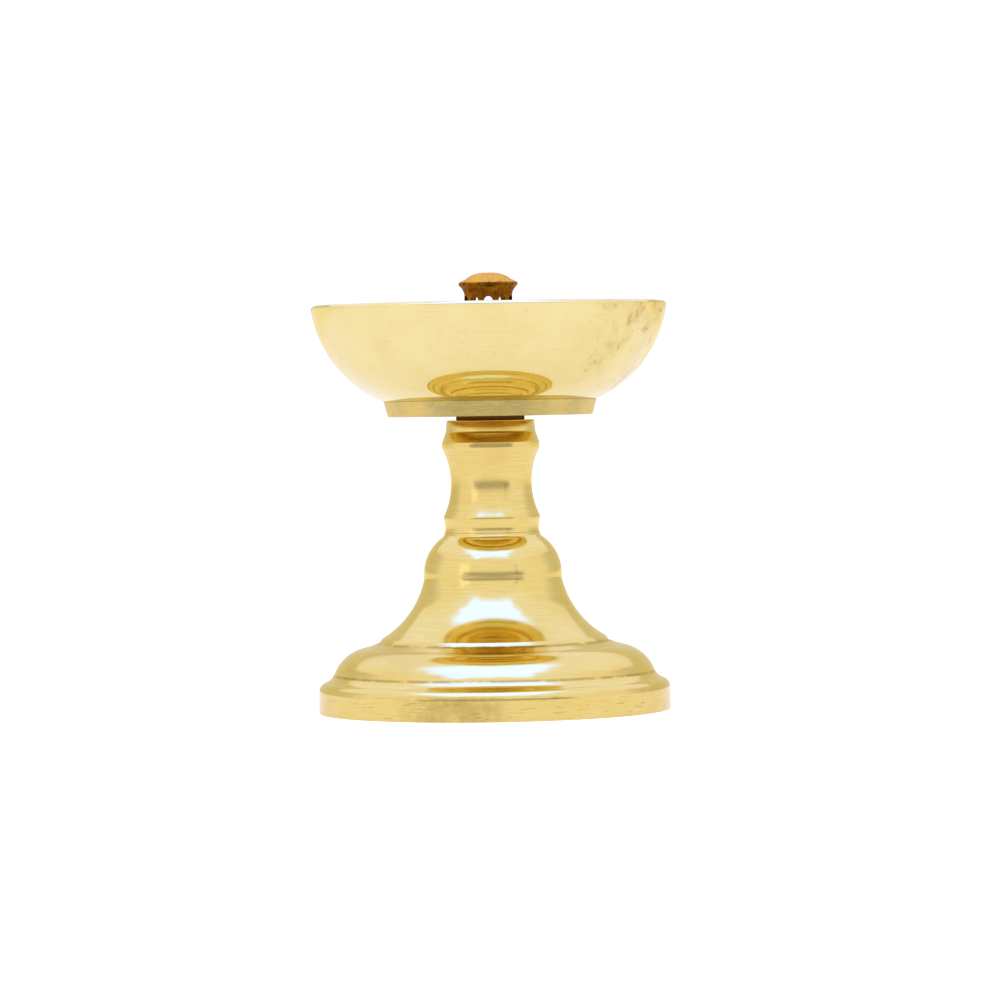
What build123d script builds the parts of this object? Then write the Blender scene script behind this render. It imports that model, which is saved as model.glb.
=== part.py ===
"""Diya oil lamp: a brass bowl on a turned pedestal, with a mushroom-capped wick tube.

The lamp stands on the rim of a hollow bell foot, with +Z up and the origin at the centre of that rim.
A baluster stem is held on the foot by a threaded spigot, a washer and a nut inside the bell.
The bowl is clamped on the stem by one screw, which goes down through a gasket, the bowl's floor and
a rubber seal into a tapped hole. The screw's flange carries a plain spigot, and the windowed tube
that holds the wick upright slips over that spigot and lifts off it.
Every piece is turned about Z, so each is a half profile in the XZ plane, revolved.
All sizes are in millimetres.
"""

from build123d import *

import os
from math import sqrt

# ------------------------------------------------------------ foot, a hollow bell casting
FOOT_DIAMETER = 75.4  # over the flange
FLANGE_HEIGHT = 4.6  # upright side of the flange
FLANGE_ROUND_HEIGHT = 2.0  # rounded top of the flange
FLANGE_ROUND_WIDTH = 1.5
FOOT_COVE_HEIGHT = 1.6  # hollow between the flange and the roll
FOOT_COVE_WIDTH = 1.8
ROLL_HEIGHT = 5.7  # large quarter-round roll
ROLL_WIDTH = 7.0
LEDGE_WIDTH = 2.8  # gently sloping ledge on top of the roll
LEDGE_RISE = 1.0
STEP_HEIGHT = 0.9  # small step from the ledge up to the edge of the flare
STEP_WIDTH = 0.6
FLARE_HEIGHT = 12.5  # hollow flare of the bell
BELL_DIAMETER = 29.6  # upright part of the bell
BELL_UPRIGHT_HEIGHT = 0.9
SHOULDER_HEIGHT = 8.1  # convex shoulder over the bell
NECK_DIAMETER = 20.4  # seat of the stem
NECK_HEIGHT = 1.0
NECK_SPREAD = 0.5  # how much wider the neck is where it meets the shoulder, on the radius
FOOT_WALL = 2.4
FOOT_RIM_WIDTH = 3.0  # width of the ring that the lamp stands on
CROWN_THICKNESS = 4.0  # metal under the stem
FOOT_EDGE = 0.3  # small bevel at the foot's lower edge

# ------------------------------------------------------------ stem, a solid turned baluster
BAND_DIAMETER = 20.2  # slightly hollow band at the bottom
BAND_HEIGHT = 2.9
EDGE_DIAMETER = 20.7  # sharp edge over the band
EDGE_HEIGHT = 0.5
WAIST_DIAMETER = 17.3
WAIST_HEIGHT = 14.5
BEAD_DIAMETER = 20.9  # bead over the waist
BEAD_HEIGHT = 1.3
STEM_CONE_HEIGHT = 2.3  # cone from the bead in to the collar
COLLAR_DIAMETER = 19.2
COLLAR_TAPER = 0.2  # how much narrower the collar is at its top, on the radius
COLLAR_HEIGHT = 2.5
STEM_EDGE = 0.15  # broken edges
BEAD_ROUND = 0.45

# ------------------------------------------------------------ stem fastening inside the bell
STEM_SPIGOT_DIAMETER = 8.0
STEM_SPIGOT_PROUD = 1.2  # beyond the nut
WASHER_DIAMETER = 16.0
WASHER_THICKNESS = 1.6
WASHER_EDGE = 0.15  # broken outer edges of every washer
NUT_ACROSS_FLATS = 13.0
NUT_HEIGHT = 6.5
NUT_CORNER_BEVEL = 0.6  # how far the nut's corners are turned down
THREAD_LEAD = 0.6  # bevel at the end of a thread and at the mouth of a tapped hole

# ------------------------------------------------------------ bowl and the ring brazed under it
BOWL_DIAMETER = 76.2  # over the rim
BOWL_HEIGHT = 22.6  # outside, flat bottom to rim
BOWL_FLAT_DIAMETER = 26.2  # flat part of the bottom
BOWL_WALL = 1.8
RIM_BEVEL_HEIGHT = 0.55  # bevel round the outside of the rim
RIM_BEVEL_WIDTH = 0.55
RIM_INNER_EDGE = 0.25
RING_DIAMETER = 45.6  # at the bowl
RING_TAPER = 0.9  # how much narrower the ring is at its lower edge, on the radius
RING_WIDTH = 2.6
RING_DROP = 1.4  # how far the ring reaches below the bowl's flat bottom

# ------------------------------------------------------------ seal, gasket and clamp screw
SEAL_DIAMETER = 14.6
SEAL_THICKNESS = 2.3
GASKET_THICKNESS = 0.8
GASKET_PROUD = 0.6  # beyond the screw's flange, on the radius
SCREW_DIAMETER = 6.0
SCREW_ENGAGEMENT = 6.0  # thread inside the stem
SCREW_FLANGE_DIAMETER = 13.0
SCREW_FLANGE_THICKNESS = 1.6
SPIGOT_HEIGHT = 4.0
SPIGOT_LEAD = 0.4
DRIVER_SLOT_WIDTH = 1.4
DRIVER_SLOT_DEPTH = 1.5
TAPPED_HOLE_SPARE = 5.0  # hole depth past the end of the screw

# ------------------------------------------------------------ wick tube
TUBE_DIAMETER = 10.2
TUBE_BORE_DIAMETER = 6.8
TUBE_HEIGHT = 19.7  # screw flange to the start of the flare under the brim
UNDER_BRIM_HEIGHT = 2.6  # hollow flare under the brim
BRIM_DIAMETER = 12.6
BRIM_EDGE_HEIGHT = 0.65
BRIM_RISE = 0.65  # the brim's top slopes up to the dome
DOME_DIAMETER = 9.8
DOME_HEIGHT = 1.4
CROWN_OF_TUBE = 2.4  # metal between the end of the bore and the top of the dome
WICK_HOLE_DIAMETER = 3.0
TUBE_EDGE = 0.2
WINDOW_COUNT = 10
WINDOW_WIDTH = 1.9
WINDOW_ABOVE_SPIGOT = 1.2
WINDOW_BELOW_BRIM = 2.2

# ------------------------------------------------------------ clearances, on the radius
THREAD_CLEARANCE = 0.05
HOLE_CLEARANCE = 0.1
SLIP_CLEARANCE = 0.05

# ------------------------------------------------------------ fullness of the curves, rise over chord
FLANGE_ROUND_BULGE = 0.16
FOOT_COVE_BULGE = 0.08
ROLL_BULGE = 0.14
FLARE_BULGE = 0.105
SHOULDER_BULGE = 0.125
NECK_BULGE = 0.1
BAND_BULGE = 0.07
UNDER_BRIM_BULGE = 0.13
DOME_BULGE = 0.07


def bulged_arc(start, end, bulge):
    """An arc that bulges to the right of the way from start to end by a share of its chord."""
    across, up = end[0] - start[0], end[1] - start[1]
    middle = ((start[0] + end[0]) / 2 + up * bulge, (start[1] + end[1]) / 2 - across * bulge)
    return ThreePointArc(start, middle, end)


# ------------------------------------------------------------ levels, from the table up
flange_top_z = FLANGE_HEIGHT + FLANGE_ROUND_HEIGHT
roll_bottom_z = flange_top_z + FOOT_COVE_HEIGHT
roll_top_z = roll_bottom_z + ROLL_HEIGHT
ledge_z = roll_top_z + LEDGE_RISE
flare_bottom_z = ledge_z + STEP_HEIGHT
flare_top_z = flare_bottom_z + FLARE_HEIGHT
shoulder_bottom_z = flare_top_z + BELL_UPRIGHT_HEIGHT
shoulder_top_z = shoulder_bottom_z + SHOULDER_HEIGHT
stem_base_z = shoulder_top_z + NECK_HEIGHT

crown_underside_z = stem_base_z - CROWN_THICKNESS
washer_underside_z = crown_underside_z - WASHER_THICKNESS
nut_underside_z = washer_underside_z - NUT_HEIGHT
stem_spigot_end_z = nut_underside_z - STEM_SPIGOT_PROUD

edge_bottom_z = stem_base_z + BAND_HEIGHT
waist_bottom_z = edge_bottom_z + EDGE_HEIGHT
bead_bottom_z = waist_bottom_z + WAIST_HEIGHT
bead_top_z = bead_bottom_z + BEAD_HEIGHT
collar_bottom_z = bead_top_z + STEM_CONE_HEIGHT
stem_top_z = collar_bottom_z + COLLAR_HEIGHT

screw_end_z = stem_top_z - SCREW_ENGAGEMENT
tapped_end_z = screw_end_z - TAPPED_HOLE_SPARE
bowl_bottom_z = stem_top_z + SEAL_THICKNESS
bowl_floor_z = bowl_bottom_z + BOWL_WALL
rim_z = bowl_bottom_z + BOWL_HEIGHT
ring_bottom_z = bowl_bottom_z - RING_DROP
screw_flange_z = bowl_floor_z + GASKET_THICKNESS
tube_bottom_z = screw_flange_z + SCREW_FLANGE_THICKNESS
spigot_top_z = tube_bottom_z + SPIGOT_HEIGHT
tube_flare_z = tube_bottom_z + TUBE_HEIGHT
brim_bottom_z = tube_flare_z + UNDER_BRIM_HEIGHT
brim_top_z = brim_bottom_z + BRIM_EDGE_HEIGHT
dome_base_z = brim_top_z + BRIM_RISE
dome_top_z = dome_base_z + DOME_HEIGHT
bore_end_z = dome_top_z - CROWN_OF_TUBE
window_bottom_z = spigot_top_z + WINDOW_ABOVE_SPIGOT
window_top_z = brim_bottom_z - WINDOW_BELOW_BRIM

# ------------------------------------------------------------ radii, from the outside in
flange_r = FOOT_DIAMETER / 2
flange_top_r = flange_r - FLANGE_ROUND_WIDTH
roll_r = flange_top_r - FOOT_COVE_WIDTH
ledge_outer_r = roll_r - ROLL_WIDTH
ledge_inner_r = ledge_outer_r - LEDGE_WIDTH
flare_r = ledge_inner_r - STEP_WIDTH
bell_r = BELL_DIAMETER / 2
neck_r = NECK_DIAMETER / 2
shoulder_top_r = neck_r + NECK_SPREAD
foot_mouth_r = flange_r - FOOT_RIM_WIDTH

stem_spigot_r = STEM_SPIGOT_DIAMETER / 2
crown_hole_r = stem_spigot_r + HOLE_CLEARANCE
screw_r = SCREW_DIAMETER / 2
screw_hole_r = screw_r + HOLE_CLEARANCE
tapped_r = screw_r + THREAD_CLEARANCE
screw_flange_r = SCREW_FLANGE_DIAMETER / 2
tube_r = TUBE_DIAMETER / 2
tube_bore_r = TUBE_BORE_DIAMETER / 2
spigot_r = tube_bore_r - SLIP_CLEARANCE

# The bowl's side is an arc that leaves its flat bottom level and ends at the rim.
bowl_flat_r = BOWL_FLAT_DIAMETER / 2
bowl_side_width = BOWL_DIAMETER / 2 - bowl_flat_r
bowl_arc_r = (bowl_side_width**2 + BOWL_HEIGHT**2) / (2 * BOWL_HEIGHT)
bowl_arc_z = bowl_bottom_z + bowl_arc_r


def bowl_radius(z, wall=0.0):
    """Radius of the bowl's outside at a height, or of its inside when wall is its thickness."""
    return bowl_flat_r + sqrt((bowl_arc_r - wall) ** 2 - (z - bowl_arc_z) ** 2)


def bowl_underside(radius):
    """Height of the bowl's outside at a radius beyond the flat bottom."""
    return bowl_arc_z - sqrt(bowl_arc_r**2 - (radius - bowl_flat_r) ** 2)


# ============================================================ foot
flange_side = (flange_r, FLANGE_HEIGHT)
flange_top = (flange_top_r, flange_top_z)
roll_bottom = (roll_r, roll_bottom_z)
roll_top = (ledge_outer_r, roll_top_z)
flare_bottom = (flare_r, flare_bottom_z)
flare_top = (bell_r, flare_top_z)
shoulder_bottom = (bell_r, shoulder_bottom_z)
shoulder_top = (shoulder_top_r, shoulder_top_z)
neck_top = (neck_r, stem_base_z)

# The hollow follows the outside at the wall's thickness.
hollow_mouth = (foot_mouth_r, FLANGE_HEIGHT)
hollow_roll = (roll_r - FOOT_WALL, roll_bottom_z)
hollow_flare_bottom = (flare_r, roll_top_z - FOOT_WALL)
hollow_flare_top = (bell_r - FOOT_WALL, flare_top_z)
hollow_shoulder = (bell_r - FOOT_WALL, shoulder_bottom_z)
hollow_crown = (neck_r, crown_underside_z)

with BuildPart() as bell_foot:
    with BuildSketch(Plane.XZ):
        with BuildLine():
            Polyline(
                (foot_mouth_r, 0),
                (flange_r - FOOT_EDGE, 0),
                (flange_r, FOOT_EDGE),
                flange_side,
            )
            bulged_arc(flange_side, flange_top, FLANGE_ROUND_BULGE)
            bulged_arc(flange_top, roll_bottom, -FOOT_COVE_BULGE)
            bulged_arc(roll_bottom, roll_top, ROLL_BULGE)
            Polyline(roll_top, (ledge_inner_r, ledge_z), flare_bottom)
            bulged_arc(flare_bottom, flare_top, -FLARE_BULGE)
            Line(flare_top, shoulder_bottom)
            bulged_arc(shoulder_bottom, shoulder_top, SHOULDER_BULGE)
            bulged_arc(shoulder_top, neck_top, -NECK_BULGE)
            Polyline(
                neck_top,
                (crown_hole_r, stem_base_z),
                (crown_hole_r, crown_underside_z),
                hollow_crown,
            )
            bulged_arc(hollow_crown, hollow_shoulder, -SHOULDER_BULGE)
            Line(hollow_shoulder, hollow_flare_top)
            bulged_arc(hollow_flare_top, hollow_flare_bottom, FLARE_BULGE)
            Polyline(hollow_flare_bottom, hollow_roll, hollow_mouth, (foot_mouth_r, 0))
        make_face()
    revolve(axis=Axis.Z)

# ============================================================ stem
band_r = BAND_DIAMETER / 2
bead_r = BEAD_DIAMETER / 2
collar_r = COLLAR_DIAMETER / 2
collar_top_r = collar_r - COLLAR_TAPER
band_bottom = (band_r, stem_base_z + STEM_EDGE)
edge_bottom = (EDGE_DIAMETER / 2, edge_bottom_z)
edge_top = (EDGE_DIAMETER / 2, waist_bottom_z)
waist_middle = (WAIST_DIAMETER / 2, (waist_bottom_z + bead_bottom_z) / 2)
bead_bottom = (bead_r, bead_bottom_z)
bead_top = (bead_r, bead_top_z)
collar_bottom = (collar_r, collar_bottom_z)

with BuildPart() as stem:
    with BuildSketch(Plane.XZ) as stem_outline:
        with BuildLine():
            Polyline(
                (0, stem_spigot_end_z),
                (stem_spigot_r - THREAD_LEAD, stem_spigot_end_z),
                (stem_spigot_r, stem_spigot_end_z + THREAD_LEAD),
                (stem_spigot_r, stem_base_z),
                (band_r - STEM_EDGE, stem_base_z),
                band_bottom,
            )
            bulged_arc(band_bottom, edge_bottom, -BAND_BULGE)
            Line(edge_bottom, edge_top)
            ThreePointArc(edge_top, waist_middle, bead_bottom)
            Polyline(
                bead_bottom,
                bead_top,
                collar_bottom,
                (collar_top_r, stem_top_z - STEM_EDGE),
                (collar_top_r - STEM_EDGE, stem_top_z),
                (tapped_r + THREAD_LEAD, stem_top_z),
                (tapped_r, stem_top_z - THREAD_LEAD),
                (tapped_r, tapped_end_z),
                (0, tapped_end_z),
                (0, stem_spigot_end_z),
            )
        make_face()
        fillet(stem_outline.vertices().group_by(Axis.X)[-1].sort_by(Axis.Y)[0], BEAD_ROUND)
    revolve(axis=Axis.Z)

# ============================================================ plain washers
def build_washer(inner_r, outer_r, bottom_z, top_z, edge):
    """A flat ring between two levels, with its outer edges broken."""
    with BuildPart() as washer:
        with BuildSketch(Plane.XY.offset(bottom_z)):
            Circle(outer_r)
            Circle(inner_r, mode=Mode.SUBTRACT)
        extrude(amount=top_z - bottom_z)
        chamfer(washer.edges().filter_by(GeomType.CIRCLE).group_by(SortBy.RADIUS)[-1], edge)
    return washer


stem_washer = build_washer(
    crown_hole_r, WASHER_DIAMETER / 2, washer_underside_z, crown_underside_z, WASHER_EDGE
)
seal_washer = build_washer(screw_hole_r, SEAL_DIAMETER / 2, stem_top_z, bowl_bottom_z, WASHER_EDGE)
screw_gasket = build_washer(
    screw_hole_r, screw_flange_r + GASKET_PROUD, bowl_floor_z, screw_flange_z, WASHER_EDGE
)

# ============================================================ nut on the stem's spigot
with BuildPart() as stem_nut:
    with BuildSketch(Plane.XY.offset(nut_underside_z)):
        hexagon = RegularPolygon(NUT_ACROSS_FLATS / 2, 6, major_radius=False)
    extrude(amount=NUT_HEIGHT)
    # Both faces are turned down at the corners of the hexagon.
    with BuildSketch(Plane.XZ) as turned_blank:
        with Locations((0, nut_underside_z)):
            Rectangle(hexagon.radius, NUT_HEIGHT, align=Align.MIN)
        chamfer(turned_blank.vertices().group_by(Axis.X)[-1], NUT_CORNER_BEVEL)
    revolve(axis=Axis.Z, mode=Mode.INTERSECT)
    with Locations((0, 0, washer_underside_z)):
        Hole(stem_spigot_r + THREAD_CLEARANCE)

# ============================================================ bowl
rim_bevel_z = rim_z - RIM_BEVEL_HEIGHT
rim_inner_edge_z = rim_z - RIM_INNER_EDGE
side_bottom = (bowl_flat_r, bowl_bottom_z)
side_top = (bowl_radius(rim_bevel_z), rim_bevel_z)
inside_top = (bowl_radius(rim_inner_edge_z, BOWL_WALL), rim_inner_edge_z)
inside_bottom = (bowl_flat_r, bowl_floor_z)
half_height_z = bowl_bottom_z + BOWL_HEIGHT / 2

with BuildPart() as bowl:
    with BuildSketch(Plane.XZ):
        with BuildLine():
            Line((screw_hole_r, bowl_bottom_z), side_bottom)
            ThreePointArc(side_bottom, (bowl_radius(half_height_z), half_height_z), side_top)
            Polyline(
                side_top,
                (side_top[0] - RIM_BEVEL_WIDTH, rim_z),
                (inside_top[0] + RIM_INNER_EDGE, rim_z),
                inside_top,
            )
            ThreePointArc(
                inside_top, (bowl_radius(half_height_z, BOWL_WALL), half_height_z), inside_bottom
            )
            Polyline(
                inside_bottom,
                (screw_hole_r, bowl_floor_z),
                (screw_hole_r, bowl_bottom_z),
            )
        make_face()
    revolve(axis=Axis.Z)

# ============================================================ ring brazed under the bowl
ring_r = RING_DIAMETER / 2
ring_bottom_r = ring_r - RING_TAPER
ring_inner_r = ring_bottom_r - RING_WIDTH
seam_middle_r = (ring_r + ring_inner_r) / 2
seam_outside = (ring_r, bowl_underside(ring_r))
seam_inside = (ring_inner_r, bowl_underside(ring_inner_r))

with BuildPart() as bowl_ring:
    with BuildSketch(Plane.XZ):
        with BuildLine():
            Polyline(
                seam_inside,
                (ring_inner_r, ring_bottom_z),
                (ring_bottom_r, ring_bottom_z),
                seam_outside,
            )
            ThreePointArc(seam_outside, (seam_middle_r, bowl_underside(seam_middle_r)), seam_inside)
        make_face()
    revolve(axis=Axis.Z)

# ============================================================ clamp screw
with BuildPart() as clamp_screw:
    with BuildSketch(Plane.XZ):
        with BuildLine():
            Polyline(
                (0, screw_end_z),
                (screw_r - THREAD_LEAD, screw_end_z),
                (screw_r, screw_end_z + THREAD_LEAD),
                (screw_r, screw_flange_z),
                (screw_flange_r - TUBE_EDGE, screw_flange_z),
                (screw_flange_r, screw_flange_z + TUBE_EDGE),
                (screw_flange_r, tube_bottom_z - TUBE_EDGE),
                (screw_flange_r - TUBE_EDGE, tube_bottom_z),
                (spigot_r, tube_bottom_z),
                (spigot_r, spigot_top_z - SPIGOT_LEAD),
                (spigot_r - SPIGOT_LEAD, spigot_top_z),
                (0, spigot_top_z),
                (0, screw_end_z),
            )
        make_face()
    revolve(axis=Axis.Z)
    with BuildSketch(Plane.XY.offset(spigot_top_z)):
        Rectangle(2 * spigot_r, DRIVER_SLOT_WIDTH)
    extrude(amount=-DRIVER_SLOT_DEPTH, mode=Mode.SUBTRACT)

# ============================================================ wick tube
wick_hole_r = WICK_HOLE_DIAMETER / 2
flare_start = (tube_r, tube_flare_z)
brim_bottom = (BRIM_DIAMETER / 2, brim_bottom_z)
dome_base = (DOME_DIAMETER / 2, dome_base_z)
dome_top = (wick_hole_r, dome_top_z)

# One window, from the axis out through the wall.
with BuildPart() as window:
    with BuildSketch(Plane.XZ):
        with Locations((0, (window_bottom_z + window_top_z) / 2)):
            SlotOverall(window_top_z - window_bottom_z, WINDOW_WIDTH, rotation=90)
    extrude(amount=tube_r + UNDER_BRIM_HEIGHT)

with BuildPart() as wick_tube:
    with BuildSketch(Plane.XZ):
        with BuildLine():
            Polyline(
                (tube_bore_r, bore_end_z),
                (tube_bore_r, tube_bottom_z),
                (tube_r - TUBE_EDGE, tube_bottom_z),
                (tube_r, tube_bottom_z + TUBE_EDGE),
                flare_start,
            )
            bulged_arc(flare_start, brim_bottom, -UNDER_BRIM_BULGE)
            Polyline(brim_bottom, (BRIM_DIAMETER / 2, brim_top_z), dome_base)
            bulged_arc(dome_base, dome_top, DOME_BULGE)
            Polyline(dome_top, (wick_hole_r, bore_end_z), (tube_bore_r, bore_end_z))
        make_face()
    revolve(axis=Axis.Z)
    with PolarLocations(0, WINDOW_COUNT):
        add(window.part, mode=Mode.SUBTRACT)

# ============================================================ one file for each piece
os.makedirs("parts", exist_ok=True)
pieces = {
    "bell_foot": bell_foot,
    "stem": stem,
    "stem_washer": stem_washer,
    "stem_nut": stem_nut,
    "seal_washer": seal_washer,
    "bowl": bowl,
    "bowl_ring": bowl_ring,
    "screw_gasket": screw_gasket,
    "clamp_screw": clamp_screw,
    "wick_tube": wick_tube,
}
for name, piece in pieces.items():
    piece.part.label = name
    export_step(piece.part, f"parts/{name}.step")
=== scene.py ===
"""Looks of the diya oil lamp: turned and polished brass on a white studio table.

Every brass piece is turned again here from its half outline, finer than the CAD's, with softened edges.
Sizes of outlines are in millimetres; MM turns them into Blender's metres.
"""

from math import atan2, cos, hypot, pi, radians, sin, sqrt

import bmesh
import bpy
from mathutils import Matrix, Vector, noise


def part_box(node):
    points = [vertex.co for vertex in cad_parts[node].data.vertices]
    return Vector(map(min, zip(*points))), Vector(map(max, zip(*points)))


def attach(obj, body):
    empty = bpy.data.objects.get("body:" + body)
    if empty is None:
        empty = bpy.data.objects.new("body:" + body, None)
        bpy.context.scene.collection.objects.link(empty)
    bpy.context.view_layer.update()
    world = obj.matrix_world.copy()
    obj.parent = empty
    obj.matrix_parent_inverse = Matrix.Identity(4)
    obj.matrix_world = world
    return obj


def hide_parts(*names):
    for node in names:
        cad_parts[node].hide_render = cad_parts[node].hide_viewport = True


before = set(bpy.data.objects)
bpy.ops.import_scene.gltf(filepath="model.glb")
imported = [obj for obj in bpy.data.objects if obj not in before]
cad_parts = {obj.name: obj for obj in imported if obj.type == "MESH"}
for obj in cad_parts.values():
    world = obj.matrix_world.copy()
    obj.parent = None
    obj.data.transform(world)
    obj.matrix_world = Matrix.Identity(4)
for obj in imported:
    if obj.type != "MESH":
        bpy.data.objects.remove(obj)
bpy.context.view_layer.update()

MM = 0.001


# =============================================================== half outlines of turned pieces
class Outline:
    """Half outline of a turned piece: points of (radius, height) joined by lines and arcs.

    An outline starts and ends on the axis, or half-way along a flat side, so that no corner
    stands where it closes.
    """

    ARC_STEP = radians(2.5)
    EASE_STEPS = 5
    THREAD_DEPTH, THREAD_FLANK, THREAD_ROOT, THREAD_CREST = 0.6, 0.45, 0.10, 0.06  # shares of the pitch
    THREAD_START_EASE = 0.05

    def __init__(self, radius, height):
        self.points = [(radius, height)]
        self.reaches = {}

    def line(self, radius, height, ease=0.0):
        """A straight run to a point; ease is how far its corner is rounded back along both sides."""
        self.points.append((radius, height))
        if ease:
            self.reaches[len(self.points) - 1] = ease
        return self

    def arc(self, radius, height, bulge, ease=0.0):
        """An arc that bulges to the right of the way by a share of its chord."""
        r0, z0 = self.points[-1]
        across, up = radius - r0, height - z0
        chord = hypot(across, up)
        sagitta = abs(bulge) * chord
        curve = (chord**2 / 4 + sagitta**2) / (2 * sagitta)
        side = 1 if bulge > 0 else -1
        # The centre lies on the other side of the chord from the bulge.
        offset = (curve - sagitta) * side
        centre_r = (r0 + radius) / 2 - up / chord * offset
        centre_z = (z0 + height) / 2 + across / chord * offset
        start = atan2(z0 - centre_z, r0 - centre_r)
        turn = atan2(height - centre_z, radius - centre_r) - start
        turn = (turn + pi) % (2 * pi) - pi
        steps = max(3, round(abs(turn) / self.ARC_STEP))
        for step in range(1, steps):
            angle = start + turn * step / steps
            self.points.append((centre_r + curve * cos(angle), centre_z + curve * sin(angle)))
        return self.line(radius, height, ease)

    def thread(self, radius, start, end, pitch):
        """Thread grooves along a cylinder, cut to the usual depth for their pitch."""
        root_r = radius - self.THREAD_DEPTH * pitch
        self.line(radius, start, ease=self.THREAD_START_EASE * pitch)
        for groove in range(int((end - start) / pitch)):
            level = start + pitch * groove
            self.line(root_r, level + pitch * self.THREAD_FLANK)
            self.line(root_r, level + pitch * (self.THREAD_FLANK + self.THREAD_ROOT))
            self.line(radius, level + pitch * (1 - self.THREAD_CREST))
            self.line(radius, level + pitch)
        return self

    def eased(self):
        """The points with each eased corner replaced by a small curve."""
        lengths = [0.0]
        for (r0, z0), (r1, z1) in zip(self.points, self.points[1:]):
            lengths.append(lengths[-1] + hypot(r1 - r0, z1 - z0))

        def at(length):
            for index in range(1, len(lengths)):
                if length <= lengths[index]:
                    break
            share = (length - lengths[index - 1]) / (lengths[index] - lengths[index - 1])
            (r0, z0), (r1, z1) = self.points[index - 1], self.points[index]
            return r0 + (r1 - r0) * share, z0 + (z1 - z0) * share

        result = []
        for index, point in enumerate(self.points):
            if index in self.reaches:
                reach = self.reaches[index]
                before, after = at(lengths[index] - reach), at(lengths[index] + reach)
                for step in range(self.EASE_STEPS + 1):
                    t = step / self.EASE_STEPS
                    weights = ((1 - t) ** 2, 2 * t * (1 - t), t**2)
                    result.append(
                        tuple(
                            sum(w * p[axis] for w, p in zip(weights, (before, point, after)))
                            for axis in (0, 1)
                        )
                    )
            elif all(abs(lengths[index] - lengths[i]) > reach for i, reach in self.reaches.items()):
                result.append(point)
        return result


SAME_POINT = 1e-6  # millimetres
MERGE_DISTANCE = 1e-7  # metres


def turned(outline, steps=320):
    """A mesh in the lathe: the closed outline spun a full turn about Z."""
    mesh = bmesh.new()
    points = outline.eased()
    if hypot(points[0][0] - points[-1][0], points[0][1] - points[-1][1]) < SAME_POINT:
        points.pop()
    ring = [mesh.verts.new((radius * MM, 0, height * MM)) for radius, height in points]
    edges = [mesh.edges.new(pair) for pair in zip(ring, ring[1:])]
    on_axis = points[0][0] < SAME_POINT and points[-1][0] < SAME_POINT
    if not on_axis:
        edges.append(mesh.edges.new((ring[-1], ring[0])))
    bmesh.ops.spin(
        mesh, geom=ring + edges, cent=(0, 0, 0), axis=(0, 0, 1), angle=2 * pi, steps=steps,
        use_merge=True, use_normal_flip=False, use_duplicate=False,
    )
    bmesh.ops.remove_doubles(mesh, verts=mesh.verts, dist=MERGE_DISTANCE)
    bmesh.ops.recalc_face_normals(mesh, faces=mesh.faces)
    return mesh


def finished(name, mesh, body, slot, material, *nodes):
    """Makes the piece from its mesh, and lets it ride on its body in place of its CAD nodes."""
    data = bpy.data.meshes.new(name)
    mesh.to_mesh(data)
    mesh.free()
    data.shade_smooth()
    data.materials.append(material)
    piece = bpy.data.objects.new(name, data)
    bpy.context.scene.collection.objects.link(piece)
    weighted = piece.modifiers.new("weighted normals", "WEIGHTED_NORMAL")
    weighted.keep_sharp = True
    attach(piece, body)
    if nodes:
        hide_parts(*nodes)
    return piece


def span(node):
    """Lowest and highest level of a CAD node, in millimetres."""
    low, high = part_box(node)
    return low[2] / MM, high[2] / MM


def reach(node):
    """Largest radius of a CAD node, in millimetres."""
    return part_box(node)[1][0] / MM


# =============================================================== shader maths
class Value:
    """A socket that Python's operators turn into Math nodes."""

    def __init__(self, tree, socket):
        self.tree, self.socket = tree, socket

    def math(self, operation, *others):
        made = self.tree.nodes.new("ShaderNodeMath")
        made.operation = operation
        for slot, value in zip(made.inputs, (self, *others)):
            if isinstance(value, Value):
                self.tree.links.new(value.socket, slot)
            else:
                slot.default_value = value
        return Value(self.tree, made.outputs[0])

    def __add__(self, other):
        return self.math("ADD", other)

    __radd__ = __add__

    def __mul__(self, other):
        return self.math("MULTIPLY", other)

    __rmul__ = __mul__

    def __sub__(self, other):
        return self.math("SUBTRACT", other)

    def __rsub__(self, other):
        return self.math("MULTIPLY", -1.0).math("ADD", other)

    def __truediv__(self, other):
        return self.math("DIVIDE", other)

    def __pow__(self, other):
        return self.math("POWER", other)

    def clipped(self):
        """Held between 0 and 1."""
        made = self.math("ADD", 0.0)
        made.socket.node.use_clamp = True
        return made

    def step_up(self, low, high):
        """0 below low, 1 above high, smooth between."""
        made = self.tree.nodes.new("ShaderNodeMapRange")
        made.interpolation_type = "SMOOTHSTEP"
        self.tree.links.new(self.socket, made.inputs["Value"])
        made.inputs["From Min"].default_value = low
        made.inputs["From Max"].default_value = high
        return Value(self.tree, made.outputs[0])


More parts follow.
